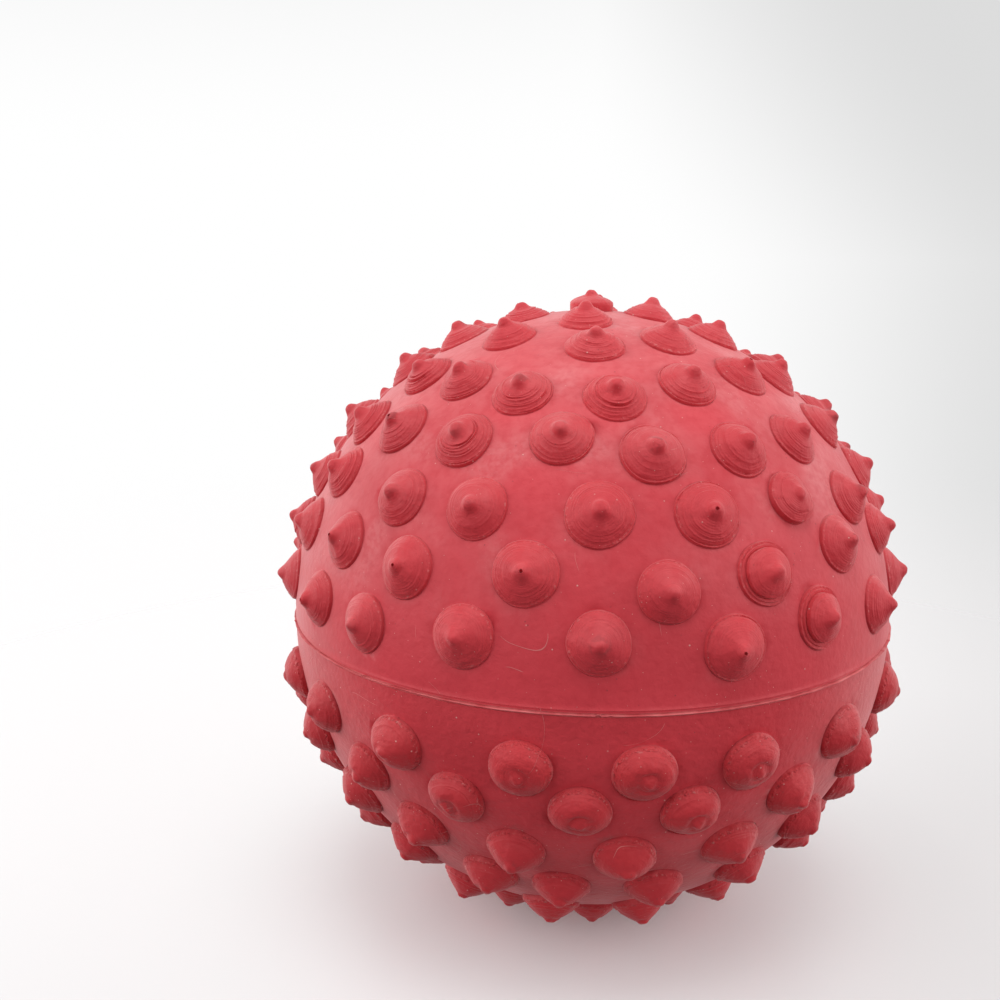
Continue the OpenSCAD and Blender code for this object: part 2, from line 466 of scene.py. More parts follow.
def bump_points(bump, profile, steady, uneven):
    """Points of a bump's rings and tip; a steady bump stands straight."""
    turn = turns(BUMP_SEGMENTS)
    radius, height = bump_relief(bump, profile, turn, uneven)
    east, north = bump_spread(bump, profile, turn, radius, steady, uneven)
    # The last ring has no width, so one of its points is the tip
    keep = (len(profile) - 1) * BUMP_SEGMENTS + 1
    east, north, height = (values.ravel()[:keep] for values in (east, north, height))
    out = direction(bump.latitude, bump.longitude)
    to_east, to_north = tangents(bump.latitude, bump.longitude)
    # The tip may lie at 0, which can't divide
    across = np.maximum(np.hypot(east, north), 1e-9)
    reach = np.sin(across / SHELL_R) / across
    unit = np.cos(across / SHELL_R)[:, None] * out
    unit = unit + (reach * east)[:, None] * to_east + (reach * north)[:, None] * to_north
    return unit * (wall_radius(unit) + height)[:, None]


def loop(first, count):
    """Pairs of neighbours round a ring of points that start at a number."""
    return [(first + k, first + (k + 1) % count) for k in range(count)]


def ring_faces(low, high, count):
    """Faces between two rings whose points start at those numbers."""
    return [(a, b, d, c) for (a, b), (c, d) in zip(loop(low, count), loop(high, count))]


def bump_faces(start, rings):
    """Faces of a bump whose points start at that number."""
    faces = []
    for ring in range(rings - 1):
        low = start + ring * BUMP_SEGMENTS
        faces += ring_faces(low, low + BUMP_SEGMENTS, BUMP_SEGMENTS)
    last = start + (rings - 1) * BUMP_SEGMENTS
    tip = last + BUMP_SEGMENTS
    return faces + [(a, b, tip) for a, b in loop(last, BUMP_SEGMENTS)]


def bump_list(rows, nudges, seed):
    """The bumps of a half, each with its own random source."""
    bumps = []
    for row, (latitude, count, first) in enumerate(rows):
        play = CLOSE_PLAY if latitude > CLOSE_LATITUDE else PLAIN_PLAY
        for number in range(-(count // 2), count - count // 2):
            rng = random.Random(seed * SEEDS_PER_HALF + row * SEEDS_PER_ROW + number)
            plain = (rng.uniform(-play, play), rng.uniform(-play, play), rng.uniform(*SIZE_SHARES))
            north, east, size = nudges.get((row, number), plain)
            longitude = first + 360.0 * number / count + east
            bumps.append(Bump(row, number, latitude + north, longitude, size, rng))
    return bumps


RIM_SEGMENTS = 360
INNER_SEGMENTS = 90
INNER_RINGS = 18
# Points between the bumps: spacing, gap to a bump, and height over the seam, in millimetres
FILL_SPACING = 1.0
FILL_CLEARANCE = 0.55
FILL_FROM_Z = 2.6
# The part of the shell that a point takes up, as a share of the spacing squared
FILL_AREA_SHARE = 0.866


def ring_at(radius, z, segments):
    """Points of a level circle."""
    turn = turns(segments)
    return np.stack([radius * np.cos(turn), radius * np.sin(turn), np.full(segments, z)], 1)


def flat(unit):
    """The half ball's points on a plane, by a projection that keeps circles round."""
    return unit[:, :2] / (1.0 + unit[:, 2:3])


def filler(centres, hole_r):
    """Even points over the shell, clear of the bumps and the rim."""
    count = int(4 * math.pi * SHELL_R ** 2 / (FILL_AREA_SHARE * FILL_SPACING ** 2))
    k = np.arange(count)
    z = 1.0 - (2.0 * k + 1.0) / count
    # Each point is a golden angle on from the last
    turn = k * math.pi * (3.0 - math.sqrt(5.0))
    level = np.sqrt(1.0 - z * z)
    unit = np.stack([level * np.cos(turn), level * np.sin(turn), z], 1)
    unit = unit[unit[:, 2] * SHELL_R > FILL_FROM_Z]
    nearest = np.arccos(np.clip(unit @ centres.T, -1.0, 1.0)) * SHELL_R - hole_r
    return unit[nearest.min(1) > FILL_CLEARANCE]


# Rings over the seam: height, lift of the upper half's thin lip, in millimetres, and whether that is crisp
LIP_RINGS = [
    (RIM_Z, 0.0, False), (0.42, -0.05, False), (0.5, -0.03, True), (0.56, 0.09, True), (0.64, 0.07, True),
    (0.8, 0.02, False), (1.05, 0.0, False), (1.4, 0.0, False), (1.8, 0.0, False), (2.3, 0.0, False),
]
# Numbers of crisp rings: the bumps' count from 0, and the lip's from far above them
NOT_CRISP = -1
RINGS_PER_BUMP = 100
FIRST_LIP_EDGE = 1000000
# Stands for a radius share between the bumps
SHELL_SHARE = 2.0
# Points of the flat web that lie closer would count as one
SAME_PLACE = 1e-7


def web(points, joined, edges, owner):
    """Triangles over the joined points, between the bumps; owner says which bump's ring a point is on."""
    spread = points[joined]
    spread = spread / np.linalg.norm(spread, axis=1)[:, None]
    places = [tuple(p) for p in flat(spread)]
    _, _, triangles, found, *_ = delaunay_2d_cdt(places, edges, [], 0, SAME_PLACE)
    source = [joined[numbers[0]] for numbers in found]
    faces = [tuple(source[k] for k in triangle) for triangle in triangles]
    # Triangles whose corners are all on one bump's ring would close the hole under the bump
    return [face for face in faces if len({owner.get(c, -1 - c) for c in face}) > 1]


def outer_skin(bumps, profiles, lower):
    """Points, faces, axis shares and crisp ring numbers of the outside of a half, built as an upper one."""
    levels = [ring_at(math.sqrt(SHELL_R ** 2 - z * z), z, RIM_SEGMENTS) / SHELL_R for z, _, _ in LIP_RINGS]
    uneven = LOWER_UNEVEN if lower else 1.0
    # The lowest row carries the ball, so it is steady
    grids = [bump_points(b, p, lower and b.row == 0, uneven) for b, p in zip(bumps, profiles)]
    centres = np.array([direction(b.latitude, b.longitude) for b in bumps])
    hole_r = np.array([BUMP_R * b.size * JOIN_SHARE for b in bumps])
    plain = np.concatenate([*levels, filler(centres, hole_r)])
    lifts = np.zeros(len(plain))
    crisp = [np.full(len(plain), NOT_CRISP)]
    for ring, (_, lift, edge) in enumerate([] if lower else LIP_RINGS):
        own = slice(ring * RIM_SEGMENTS, (ring + 1) * RIM_SEGMENTS)
        lifts[own] = lift
        crisp[0][own] = FIRST_LIP_EDGE + ring if edge else NOT_CRISP
    points = np.concatenate([plain * (wall_radius(plain) + lifts)[:, None], *grids])
    shares = [np.full(len(plain), SHELL_SHARE)]
    faces = []
    owner = {}
    joined = list(range(len(plain)))
    edges = loop(0, RIM_SEGMENTS)
    start = len(plain)
    for number, (grid, profile) in enumerate(zip(grids, profiles)):
        faces += bump_faces(start, len(profile) - 1)
        shares.append(np.repeat([ring.share for ring in profile], BUMP_SEGMENTS)[:len(grid)])
        rings = [number * RINGS_PER_BUMP + k if ring.crisp else NOT_CRISP for k, ring in enumerate(profile)]
        crisp.append(np.repeat(rings, BUMP_SEGMENTS)[:len(grid)])
        foot = range(start, start + BUMP_SEGMENTS)
        owner.update(dict.fromkeys(foot, number))
        edges += loop(len(joined), BUMP_SEGMENTS)
        joined += foot
        start += len(grid)
    faces += web(points, joined, edges, owner)
    return points, faces, np.concatenate(shares), np.concatenate(crisp)


def half_shell(name, bumps, profiles, inner_profile, lower):
    """One half: its outside, its inside turned from a profile, and the flat rim between them."""
    points, faces, shares, crisp = outer_skin(bumps, profiles, lower)
    start = len(points)
    rings = [ring_at(r, z, INNER_SEGMENTS) for r, z in inner_profile[:-1]]
    pole = np.array([[0.0, 0.0, inner_profile[-1][1]]])
    points = np.concatenate([points, *rings, pole])
    inside = len(points) - start
    shares = np.concatenate([shares, np.full(inside, SHELL_SHARE)])
    crisp = np.concatenate([crisp, np.full(inside, NOT_CRISP)])
    ratio = RIM_SEGMENTS // INNER_SEGMENTS
    for k, after in loop(0, INNER_SEGMENTS):
        for part in range(ratio):
            outer = k * ratio + part
            faces.append(((outer + 1) % RIM_SEGMENTS, outer, start + k))
        faces.append(((k + 1) * ratio % RIM_SEGMENTS, start + k, start + after))
        for ring in range(len(rings) - 1):
            low = start + ring * INNER_SEGMENTS
            high = low + INNER_SEGMENTS
            faces.append((low + after, low + k, high + k, high + after))
        top = start + (len(rings) - 1) * INNER_SEGMENTS
        faces.append((top + after, top + k, len(points) - 1))
    if lower:
        points = points * np.array([1.0, 1.0, -1.0])
        faces = [face[::-1] for face in faces]
    piece = make_piece(name, points, faces)
    layer = piece.data.attributes.new("axis_share", "FLOAT", "POINT")
    layer.data.foreach_set("value", shares.astype(np.float32))
    sharpen(piece.data, crisp)
    return piece


def add_object(name, data):
    """A new object in the scene."""
    made = bpy.data.objects.new(name, data)
    scene.collection.objects.link(made)
    return made


# Edges where faces turn by more than this are sharp
SHARP_ANGLE = math.radians(75)


def make_piece(name, points, faces):
    """A smooth mesh object from points in millimetres."""
    mesh = bpy.data.meshes.new(name)
    mesh.from_pydata((points * MM).tolist(), [], faces)
    mesh.update()
    mesh.shade_smooth()
    mesh.set_sharp_from_angle(angle=SHARP_ANGLE)
    return add_object(name, mesh)


def sharpen(mesh, crisp):
    """Makes the edges crisp whose two ends have the same crisp ring number."""
    ends = np.zeros(len(mesh.edges) * 2, dtype=np.int32)
    mesh.edges.foreach_get("vertices", ends)
    first = crisp[ends[0::2]]
    second = crisp[ends[1::2]]
    sharp = np.zeros(len(mesh.edges), dtype=bool)
    mesh.edges.foreach_get("use_edge_sharp", sharp)
    mesh.edges.foreach_set("use_edge_sharp", sharp | ((first == second) & (first != NOT_CRISP)))


def inner_dome():
    """Profile of the inside from the rim to the pole."""
    first = math.asin(RIM_Z / INNER_R)
    angles = [first + (math.pi / 2 - first) * k / INNER_RINGS for k in range(INNER_RINGS + 1)]
    return [(INNER_R * math.cos(a), INNER_R * math.sin(a)) for a in angles]


def inner_dome_with_boss():
    """The same, clear of the plug's flat seat at the pole, and that seat."""
    wide = [(r, z) for r, z in inner_dome() if r > BOSS_R + BOSS_CLEARANCE]
    edge_z = math.sqrt(INNER_R ** 2 - BOSS_R ** 2)
    return wide + [(BOSS_R, edge_z), (BOSS_R, BOSS_DEPTH), (0.0, BOSS_DEPTH)]


def upper_half():
    """The upper shell: ridged bumps, some with collars and needle holes, and a steep one on the pole."""
    bumps = []
    profiles = []
    for bump in bump_list(UPPER_ROWS, UPPER_NUDGES, seed=1):
        key = (bump.row, bump.number)
        chance = bump.rng.random()
        top = BUMP_H * LOW_SHARES.get(key, bump.rng.uniform(*UPPER_HEIGHT_SHARES))
        behind = abs(bump.number) > SEEN
        pinhole = key in PINHOLES or (behind and chance < PINHOLE_CHANCE)
        collar = COLLAR_SHARES.get(key)
        if behind and chance > 1.0 - COLLAR_CHANCE:
            collar = bump.rng.choice(COLLAR_CHOICES)
        bend = -HOLE_BEND * bump.number if pinhole and not behind else 0.0
        bumps.append(bump._replace(bend=(bend, 0.0)))
        on_pole = bump.row == 0
        profiles.append(pole_profile(BUMP_H) if on_pole else ridged_profile(bump, top, collar, pinhole))
    return half_shell("upper_half_shell", bumps, profiles, inner_dome(), False)


def lower_half():
    """The lower shell: smooth bumps, some with a dish, and the plug's boss inside."""
    bumps = []
    profiles = []
    for bump in bump_list(LOWER_ROWS, LOWER_NUDGES, seed=2):
        rng = bump.rng
        behind = bump.row >= DISHED_FROM_ROW and abs(bump.number) > SEEN
        dished = (bump.row, bump.number) in DISHED or (behind and rng.random() < DISH_CHANCE)
        plain = DISHED_SHARE if dished else rng.uniform(*LOWER_HEIGHT_SHARES)
        top = BUMP_H * (RESTING_SHARE if bump.row == 0 else plain)
        pinhole = rng.random() < LOWER_PINHOLE_CHANCE
        profiles.append(domed_profile(bump, top, dished, pinhole))
        bumps.append(bump._replace(tilt=DISH_TILT, bend=(0.0, NUB_DROOP)) if dished else bump)
    return half_shell("lower_half_shell", bumps, profiles, inner_dome_with_boss(), True)


FLASH_SEGMENTS = 1440
# How deep in its groove the bond ends, all but its fin, in millimetres
GROOVE_DEPTH = 0.12
# The torn fin, as middles with waves of (steps, spread): reach as shares of the CAD flash, nibs where they
# pass 0, and height and half thickness of the edge in millimetres
REACH_SHARES = (0.5, ((60, 0.10), (12, 0.07)))
NIBS = (-1.2, ((4, 1.0),))
EDGE_Z = (0.0, ((80, 0.04), (9, 0.015)))
EDGE_T = (0.045, ((20, 0.012),))
LEAST_REACH_SHARE = 0.3
EDGE_T_LIMITS = (0.025, 0.08)
# How far a nib stands out, as a share, and up, in millimetres
NIB_REACH_SHARE = 0.3
NIB_RISE = 0.25
# Where the edge rounds off, as a share of the reach, and how far the root thickens, as a share of the bond
FIN_SHOULDER_SHARE = 0.92
FIN_ROOT_SHARE = 0.2
# Half thickness of the flash inside at its edge, in millimetres
INNER_HALF_T = 0.15


def wave(rng, steps):
    """Smooth random numbers round the seam, about 0 with a spread of about 1."""
    knots = rng.normal(0.0, 1.0, FLASH_SEGMENTS // steps)
    around = np.arange(FLASH_SEGMENTS) / steps
    low = np.floor(around).astype(int) % len(knots)
    return mix(knots[low], knots[(low + 1) % len(knots)], smooth(around % 1.0, 0.0, 1.0))


def ragged(rng, middle, waves):
    """Random numbers round the seam about a middle, from (steps, spread) pairs."""
    total = middle
    for steps, spread in waves:
        total = total + spread * wave(rng, steps)
    return total


def seam_flash():
    """The bond between the rims, with its thin torn edge outside."""
    rng = np.random.default_rng(seed=7)
    out = FLASH_OUT * ragged(rng, *REACH_SHARES)
    nib = np.clip(ragged(rng, *NIBS), 0.0, 1.0)
    out = np.clip(out + FLASH_OUT * NIB_REACH_SHARE * nib, LEAST_REACH_SHARE * FLASH_OUT, FLASH_OUT)
    edge_z = ragged(rng, *EDGE_Z) + NIB_RISE * nib
    edge_t = np.clip(ragged(rng, *EDGE_T), *EDGE_T_LIMITS)
    turn = turns(FLASH_SEGMENTS)
    still = np.zeros(FLASH_SEGMENTS)
    wall = still + INNER_R
    inner_edge = still + (INNER_R - FLASH_IN)
    groove = still + SHELL_R - GROOVE_DEPTH
    shoulder = SHELL_R + out * FIN_SHOULDER_SHARE
    root_t = edge_t + RIM_Z * FIN_ROOT_SHARE
    # Radius, middle height and half thickness, from the inside out
    layers = [
        (inner_edge, still, INNER_HALF_T), (wall, still, RIM_Z), (groove, still, RIM_Z),
        (groove, still, root_t), (shoulder, edge_z, edge_t),
    ]
    section = [(r, z - t) for r, z, t in layers] + [(SHELL_R + out, edge_z)]
    section += [(r, z + t) for r, z, t in reversed(layers)]
    rings = [np.stack([r * np.cos(turn), r * np.sin(turn), z], 1) for r, z in section]
    starts = [ring * FLASH_SEGMENTS for ring in range(len(section))]
    faces = []
    for low, high in zip(starts, starts[1:] + starts[:1]):
        faces += ring_faces(low, high, FLASH_SEGMENTS)
    return make_piece("seam_flash", np.concatenate(rings), faces)


class Nodes:
    """Short names for the shader nodes that the materials and the world use."""

    def __init__(self, tree):
        self.tree = tree
        self.coordinates = tree.nodes.new("ShaderNodeTexCoord")
        self.place = self.coordinates.outputs["Object"]

    def new(self, kind, **settings):
        node = self.tree.nodes.new("ShaderNode" + kind)
        for label, setting in settings.items():
            setattr(node, label, setting)
        return node

    def put(self, socket, value):
        """Sets a socket, or links it where the value is another node's output."""
        if isinstance(value, bpy.types.NodeSocket):
            self.tree.links.new(value, socket)
        else:
            socket.default_value = value

    def texture(self, kind, size):
        """A texture with features of that size in millimetres."""
        node = self.new(kind)
        self.put(node.inputs["Vector"], self.place)
        node.inputs["Scale"].default_value = 1.0 / (size * MM)
        return node

    def noise(self, size, detail=2.0):
        """Noise from 0 to 1."""
        node = self.texture("TexNoise", size)
        node.inputs["Detail"].default_value = detail
        return node.outputs["Fac"]

    def cells(self, size):
        """Distance to the nearest of scattered points, as a share of their spacing."""
        return self.texture("TexVoronoi", size).outputs["Distance"]

    def math(self, operation, a, b=0.0):
        node = self.new("Math", operation=operation)
        self.put(node.inputs[0], a)
        self.put(node.inputs[1], b)
        return node.outputs[0]

    def chain(self, operation, values):
        """The values joined by one operation."""
        total = values[0]
        for value in values[1:]:
            total = self.math(operation, total, value)
        return total

    def add(self, *values):
        return self.chain("ADD", values)

    def times(self, *values):
        return self.chain("MULTIPLY", values)

    def largest(self, *values):
        return self.chain("MAXIMUM", values)

    def band(self, value, low, high, bottom=0.0, top=1.0):
        """Eases from bottom to top as value goes from low to high."""
        node = self.new("MapRange", interpolation_type="SMOOTHSTEP")
        self.put(node.inputs["Value"], value)
        for label, number in (("From Min", low), ("From Max", high), ("To Min", bottom), ("To Max", top)):
            node.inputs[label].default_value = number
        return node.outputs["Result"]

    def near(self, value, middle, far, close):
        """1 close to a middle value, easing to 0 far from it."""
        away = self.math("ABSOLUTE", self.math("SUBTRACT", value, middle))
        return self.band(away, far, close)

    def blend(self, share, a, b):
        """Colour a where share is 0 and b where it is 1."""
        node = self.new("Mix", data_type="RGBA")
        self.put(node.inputs[0], share)
        self.put(node.inputs[6], a)
        self.put(node.inputs[7], b)
        return node.outputs[2]

    def blend_shaders(self, share, a, b):
        node = self.new("MixShader")
        for socket, value in zip(node.inputs, (share, a, b)):
            self.put(socket, value)
        return node.outputs[0]

    def split(self, vector):
        """X, Y and Z of a vector."""
        node = self.new("SeparateXYZ")
        self.put(node.inputs[0], vector)
        return node.outputs

    def seen(self):
        """1 where the eye, a reflection or a clear body shows this surface, 0 where it only gives light."""
        path = self.new("LightPath").outputs
        return self.largest(path["Is Camera Ray"], path["Is Glossy Ray"], path["Is Transmission Ray"])


class Finish(Nodes):
    """A new material with a Principled surface."""

    def __init__(self, name):
        self.material = bpy.data.materials.new(name)
        self.material.use_nodes = True
        super().__init__(self.material.node_tree)
        self.surface = self.tree.nodes["Principled BSDF"]

    def facing(self, axis):
        """How far the surface faces along an axis, from -1 to 1."""
        return self.split(self.new("NewGeometry").outputs["Normal"])[axis]

    def set(self, **values):
        """Sets or links the surface's sockets, with underscores for the spaces in their names."""
        for label, value in values.items():
            self.put(self.surface.inputs[label.replace("_", " ")], value)

    def relief(self, height, distance):
        """Surface relief, where a height of 1 stands for that many millimetres."""
        node = self.new("Bump")
        node.inputs["Strength"].default_value = 1.0
        node.inputs["Distance"].default_value = distance * MM
        self.put(node.inputs["Height"], height)
        self.put(self.surface.inputs["Normal"], node.outputs["Normal"])


def rgb(red, green, blue):
    return (red, green, blue, 1.0)


# Pale colour for bloom and for painted sheen and highlights
BLOOM_AND_SHEEN = rgb(0.80, 0.40, 0.40)
# Dark red for painted shade in creases and hollows
SHADE_RED = rgb(0.26, 0.018, 0.024)
DIRT = rgb(0.22, 0.045, 0.048)
DUST = rgb(0.88, 0.66, 0.60)

# A half's look: colours, roughness, strengths, some of painted sheen and shade, and noise levels from which
# pits, specks and fine dust show
Look = namedtuple(
    "Look",
    "shell bump deep rough tool_rings low_sheen right_sheen creases dust"
    " pits_from specks_from fine_from grain beads",
)
UPPER_LOOK = Look(
    shell=rgb(0.62, 0.050, 0.066), bump=rgb(0.58, 0.045, 0.056), deep=rgb(0.50, 0.036, 0.048),
    rough=0.46, tool_rings=0.2, low_sheen=0.2, right_sheen=0.55, creases=0.3, dust=0.42,
    pits_from=0.5, specks_from=0.45, fine_from=0.46, grain=(1.3, 2.6), beads=2.0,
)
LOWER_LOOK = Look(
    shell=rgb(0.61, 0.049, 0.063), bump=rgb(0.53, 0.035, 0.043), deep=rgb(0.46, 0.030, 0.040),
    rough=0.48, tool_rings=0.12, low_sheen=0.5, right_sheen=1.1, creases=0.7, dust=0.54,
    pits_from=0.42, specks_from=0.31, fine_from=0.26, grain=(2.2, 3.4), beads=8.0,
)

# Dots: spacing and field size in millimetres, and shares of the spacing where a dot ends and is full
PITS = (1.3, 4.0, 0.1, 0.05)
SPECKS = (1.8, 3.0, 0.07, 0.035)
FINE_DUST = (0.9, 7.0, 0.075, 0.035)
# Radius shares of a bump's crease, worn rim and beaded rim
CREASE_LINE_SHARE = 1.01
WORN_SHARE = 0.94
BEADED_SHARE = 0.955


class Rubber(Finish):
    """Matt moulded rubber: cloudy colour, pale bloom and a painted highlight on top, painted sheen and
    shade, dirt, dust, lint and fine tool marks.
    """

    def __init__(self, name, look):
        super().__init__(name)
        self.look = look
        self.share = self.new("Attribute", attribute_name="axis_share").outputs["Fac"]
        self.on_bump = self.band(self.share, 1.03, 0.97)
        self.up = self.facing("Z")
        self.cloud = self.noise(14.0, 3.0)
        self.mottle = self.noise(1.3, 6.0)
        marks = self.marks()
        # Bloom with a painted highlight on the lit top, and painted sheen, in one pale colour
        bloom_and_sheen = self.add(self.bloom_and_top_light(), self.sheen(), self.sheen_patches())
        colour = self.blend(bloom_and_sheen, self.clouded(), BLOOM_AND_SHEEN)
        # Painted shade in the creases round the feet and in hollow corners
        colour = self.blend(self.crease(), colour, SHADE_RED)
        colour = self.blend(self.hollow_shade(), colour, SHADE_RED)
        colour = self.blend(self.dirt(), colour, DIRT)
        colour = self.blend(self.times(marks, look.dust), colour, DUST)
        roughness = self.band(self.cloud, 0.2, 0.8, look.rough - 0.06, look.rough + 0.08)
        self.set(Base_Color=colour, Roughness=roughness)
        self.set(Specular_IOR_Level=0.15, Sheen_Weight=0.05, Sheen_Roughness=0.3)
        height = self.add(self.grain(), self.tool_rings(), self.beads(), self.times(marks, 0.7))
        self.relief(height, 0.055)

    def by_place(self, shell, bump):
        """One number on the shell and another on the bumps."""
        return self.band(self.on_bump, 0.0, 1.0, shell, bump)

    def dots(self, kind, start, full):
        """Dots of a kind, where a noise passes from one level to another."""
        spacing, field, far, close = kind
        fields = self.band(self.noise(field), start, full)
        return self.times(self.band(self.cells(spacing), far, close), fields)

    def clouded(self):
        """The rubber's own colour, deeper in clouds and in a fine mottle."""
        colour = self.blend(self.on_bump, self.look.shell, self.look.bump)
        colour = self.blend(self.band(self.cloud, 0.35, 0.75, 0.0, 0.5), colour, self.look.deep)
        return self.blend(self.band(self.mottle, 0.4, 0.75, 0.0, 0.3), colour, self.look.deep)

    def bloom_and_top_light(self):
        """Uneven pale bloom on what faces up, partly real bloom and partly a painted highlight where the
        top is lit.
        """
        return self.times(
            self.band(self.up, -0.1, 0.9), self.band(self.noise(9.0, 8.0), 0.35, 0.75, 0.3, 1.0),
            self.band(self.mottle, 0.7, 0.35, 0.5, 1.0), self.by_place(0.23, 0.13),
        )

    def sheen(self):
        """Painted sheen: pale colour on what is seen at a slant, set by how far it faces down and to the
        right.
        """
        slant = self.new("LayerWeight").outputs["Facing"]
        return self.times(
            self.band(slant, 0.3, 0.95, 0.0, 0.32), self.by_place(1.0, 0.6),
            self.band(self.up, -0.8, 0.0, self.look.low_sheen, 1.0),
            self.band(self.facing("X"), -0.6, 0.6, 1.1, self.look.right_sheen),
        )

    def sheen_patches(self):
        """Painted sheen in soft, grainy pale patches on what faces up."""
        return self.times(
            self.band(self.noise(8.0, 0.0), 0.58, 0.74), self.band(self.up, -0.1, 0.5),
            self.band(self.noise(0.7, 4.0), 0.35, 0.65, 0.3, 1.0), self.by_place(0.13, 0.05),
        )

    def crease(self):
        """A broken dark line round each bump's foot: painted shade in the crease."""
        broken = self.band(self.noise(2.5), 0.3, 0.7, 0.0, self.look.creases)
        return self.times(self.near(self.share, CREASE_LINE_SHARE, 0.033, 0.0), broken)

    def hollow_shade(self):
        """Painted shade in hollow corners."""
        return self.band(self.new("NewGeometry").outputs["Pointiness"], 0.49, 0.42, 0.0, 0.2)

    def dirt(self):
        """Smudges on the bumps' tips, and dark pits."""
        smudges = self.times(
            self.band(self.share, 0.42, 0.2), self.band(self.noise(9.0), 0.52, 0.64),
            self.band(self.noise(1.2), 0.45, 0.6), 0.45,
        )
        pits = self.dots(PITS, self.look.pits_from, 0.62)
        return self.largest(smudges, self.times(pits, 0.5))

    def marks(self):
        """Dust specks, fine dust, lint and worn rims."""
        specks = self.dots(SPECKS, self.look.specks_from, 0.6)
        fine = self.dots(FINE_DUST, self.look.fine_from, 0.6)
        hair = self.near(self.noise(8.0, 0.0), 0.5, 0.0018, 0.0006)
        lint = self.times(hair, self.band(self.noise(5.0, 0.0), 0.67, 0.71), 0.5)
        worn = self.times(
            self.near(self.share, WORN_SHARE, 0.05, 0.01), self.band(self.noise(0.4), 0.52, 0.72),
            self.band(self.noise(6.0), 0.4, 0.6, 0.1, 0.35),
        )
        return self.largest(specks, fine, lint, worn)

    def grain(self):
        """The rubber's fine grain."""
        grain = self.add(self.times(self.noise(0.8, 6.0), 1.2), self.mottle)
        return self.times(grain, self.by_place(*self.look.grain))

    def tool_rings(self):
        """Broken fine rings round a bump, from the tool that cut the mould."""
        return self.times(
            self.math("SINE", self.times(self.share, 95.0)), self.band(self.share, 0.98, 0.9),
            self.band(self.noise(2.5), 0.3, 0.7), self.look.tool_rings,
        )

    def beads(self):
        """Small beads and dents round a bump's rim."""
        uneven = self.math("SUBTRACT", self.noise(0.45, 1.0), 0.5)
        return self.times(self.near(self.share, BEADED_SHARE, 0.045, 0.01), uneven, self.look.beads)


def flash_rubber():
    """The pale, torn edge of the bond."""
    paint = Finish("flash_rubber")
    tone = paint.band(paint.noise(2.5, 4.0), 0.3, 0.7)
    paint.set(
        Base_Color=paint.blend(tone, rgb(0.54, 0.06, 0.07), rgb(0.66, 0.15, 0.155)),
        Roughness=paint.band(paint.noise(2.0), 0.3, 0.7, 0.45, 0.62), Specular_IOR_Level=0.3,
    )
    paint.relief(paint.noise(0.4, 2.0), 0.03)
    return paint.material


def gum_rubber():
    """The soft tan plug inside."""
    paint = Finish("gum_rubber")
    tone = paint.band(paint.noise(3.0, 4.0), 0.3, 0.75)
    paint.set(
        Base_Color=paint.blend(tone, rgb(0.70, 0.50, 0.28), rgb(0.58, 0.38, 0.18)),
        Roughness=paint.band(paint.noise(1.5), 0.3, 0.7, 0.55, 0.7),
    )
    paint.relief(paint.noise(0.5, 3.0), 0.05)
    return paint.material


def dress(piece, material, node):
    """Gives a piece its material and puts it in the place of its CAD node."""
    piece.data.materials.append(material)
    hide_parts(node)
    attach(piece, "root")


upper_rubber = Rubber("upper_rubber", UPPER_LOOK).material
lower_rubber = Rubber("lower_rubber", LOWER_LOOK).material
dress(upper_half(), upper_rubber, "upper_shell")
dress(lower_half(), lower_rubber, "lower_shell")
dress(seam_flash(), flash_rubber(), "seam_bond")

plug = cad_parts["sealing_plug"]
plug.data.materials.clear()
plug.data.materials.append(gum_rubber())

# Camera at the photograph's viewing angle
CAMERA_DISTANCE = 0.1624
CAMERA_ELEVATION = math.radians(17.46)
LOOK_DOWN = math.radians(12.29)
TURN_LEFT = math.radians(4.72)
camera = add_object("camera", bpy.data.cameras.new("camera"))
camera.data.lens = 39.43
camera.data.sensor_width = 36.0
camera.data.clip_start = 0.01
camera.location = (
    0.0, -CAMERA_DISTANCE * math.cos(CAMERA_ELEVATION), CAMERA_DISTANCE * math.sin(CAMERA_ELEVATION),
)
camera.rotation_euler = (math.pi / 2 - LOOK_DOWN, 0.0, TURN_LEFT)
scene.camera = camera

# Pale floor that fades into the white backdrop
FLOOR_R = 0.9
# Where the fade starts, slows and ends, in metres from the middle, and its share where it slows
FLOOR_FADE = (0.012, 0.06, 0.4)
FLOOR_FADE_SHARE = 0.65
# The floor shows white with a faint pink, a painted reflection of the ball's red light thrown onto it, and
# throws less light back up
FLOOR_WHITE_PINK_BOUNCE = rgb(0.95, 0.90, 0.91)
FLOOR_BOUNCE = rgb(0.30, 0.30, 0.30)
floor_mesh = bpy.data.meshes.new("floor")
floor_corners = [(-FLOOR_R, -FLOOR_R), (FLOOR_R, -FLOOR_R), (FLOOR_R, FLOOR_R), (-FLOOR_R, FLOOR_R)]
floor_mesh.from_pydata([(x, y, 0.0) for x, y in floor_corners], [], [(0, 1, 2, 3)])
floor = add_object("floor", floor_mesh)
floor.location = (0.0, 0.0, FLOOR_Z)

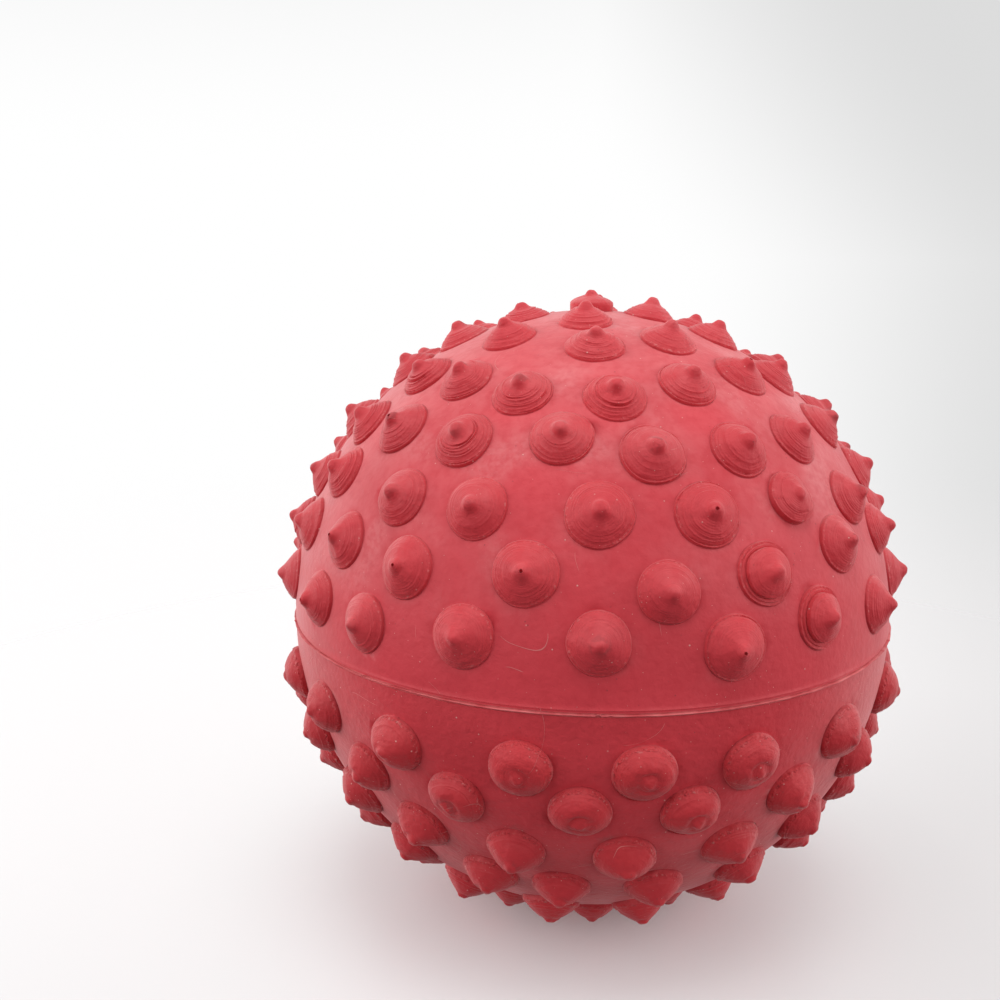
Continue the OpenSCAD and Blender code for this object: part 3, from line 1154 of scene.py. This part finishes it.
floor_paint = Finish("floor")
floor_colour = floor_paint.blend(floor_paint.seen(), FLOOR_BOUNCE, FLOOR_WHITE_PINK_BOUNCE)
floor_paint.set(Base_Color=floor_colour, Roughness=0.3, Specular_IOR_Level=0.5)
span = floor_paint.new("VectorMath", operation="LENGTH")
floor_paint.put(span.inputs[0], floor_paint.place)
near_fade = floor_paint.band(span.outputs["Value"], *FLOOR_FADE[:2], 0.0, FLOOR_FADE_SHARE)
far_fade = floor_paint.band(span.outputs["Value"], *FLOOR_FADE[1:], 0.0, 1.0 - FLOOR_FADE_SHARE)
fade = floor_paint.add(near_fade, far_fade)
clear = floor_paint.new("BsdfTransparent").outputs[0]
faded = floor_paint.blend_shaders(fade, floor_paint.surface.outputs[0], clear)
floor_paint.put(floor_paint.tree.nodes["Material Output"].inputs["Surface"], faded)
floor_mesh.materials.append(floor_paint.material)

# A white backdrop that greys a little upwards, downwards and to the right, and soft light from both sides
LEFT_LEVEL = 7.5
RIGHT_LEVEL = 6.8
# The higher, the less of it comes from the front
SIDE_POWER = 1.6
LEAST_LEVEL = 0.06
# Slopes between which the light from the sides starts over the horizon
SIDE_START = (-0.05, 0.15)
# How fast the backdrop greys upwards, downwards from a slope on, and to the right
GREY_ABOVE = 0.75
GREY_BELOW = 0.8
GREY_START = 0.35
GREY_RIGHT = 0.95
# Sums of these at which it starts to grey and is greyest, and its strength there
GREY_BAND = (0.06, 0.4)
GREYEST = 0.72
world = bpy.data.worlds.new("studio")
world.use_nodes = True
scene.world = world
room = Nodes(world.node_tree)
way = room.split(room.coordinates.outputs["Generated"])
to_right = room.largest(way["X"], 0.0)
to_left = room.largest(room.times(way["X"], -1.0), 0.0)
above = room.largest(way["Z"], 0.0)
below = room.largest(room.math("SUBTRACT", room.times(way["Z"], -1.0), GREY_START), 0.0)
greys = ((above, GREY_ABOVE), (below, GREY_BELOW), (to_right, GREY_RIGHT))
shade = room.add(*(room.times(slope, rate) for slope, rate in greys))
backdrop = room.tree.nodes["Background"]
backdrop.inputs["Color"].default_value = rgb(1.0, 1.0, 1.0)
room.put(backdrop.inputs["Strength"], room.band(shade, *GREY_BAND, 1.0, GREYEST))
left_light = room.times(room.math("POWER", to_left, SIDE_POWER), LEFT_LEVEL)
right_light = room.times(room.math("POWER", to_right, SIDE_POWER), RIGHT_LEVEL)
low = room.times(room.band(way["Z"], *SIDE_START), room.math("SUBTRACT", 1.0, way["Z"]))
glow = room.new("Background")
room.put(glow.inputs["Strength"], room.add(room.times(room.add(left_light, right_light), low), LEAST_LEVEL))
chosen = room.blend_shaders(room.seen(), glow.outputs[0], backdrop.outputs[0])
room.put(room.tree.nodes["World Output"].inputs["Surface"], chosen)

# One soft lamp overhead, a little in front, in metres
LAMP_PLACE = Vector((0.02, -0.09, 0.57))
LAMP_SIZE = 0.4
LAMP_LEVEL = 0.53
lamp = add_object("lamp", bpy.data.lights.new("lamp", "AREA"))
lamp.data.energy = LAMP_LEVEL * math.pi ** 2 * LAMP_PLACE.length_squared
lamp.data.size = LAMP_SIZE
lamp.location = LAMP_PLACE
lamp.rotation_euler = (-LAMP_PLACE).to_track_quat("-Z", "Y").to_euler()
lamp.visible_camera = False

scene.view_settings.view_transform = "Standard"
